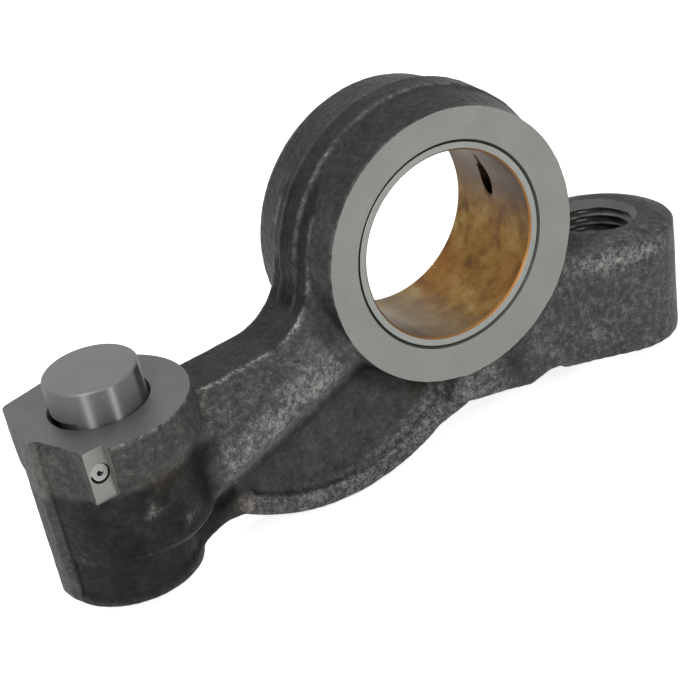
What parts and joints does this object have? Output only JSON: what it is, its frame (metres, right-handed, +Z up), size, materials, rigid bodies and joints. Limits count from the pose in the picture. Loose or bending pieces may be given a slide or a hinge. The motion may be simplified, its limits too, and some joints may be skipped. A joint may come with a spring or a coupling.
{
  "type": "rocker arm",
  "caption": "Forged diesel rocker arm with a lined shaft bore, a leaning adjuster thread and a pinned hydraulic plunger.",
  "frame": {"origin": "centre of the shaft bore", "axes": "+X along the arm from the bore towards the adjuster thread, +Y along the shaft bore, +Z up, the way the plunger moves out"},
  "size_m": [0.1251, 0.0302, 0.0628],
  "materials": {
    "forged_steel": "shot-blasted forging with machined faces",
    "bronze_lining": "steel backed, machined bronze inside",
    "ground_steel": "satin ground",
    "spring_steel": "dull"
  },
  "bodies": {
    "arm": {"rocker_body": "forged_steel", "shaft_bush": "bronze_lining", "retaining_pin": "spring_steel"},
    "plunger": {"plunger": "ground_steel"}
  },
  "joints": [
    {"name": "plunger_stroke", "type": "slide", "parent": "arm", "child": "plunger", "axis": [0, 0, 1], "range_m": [0, 0.002]}
  ]
}
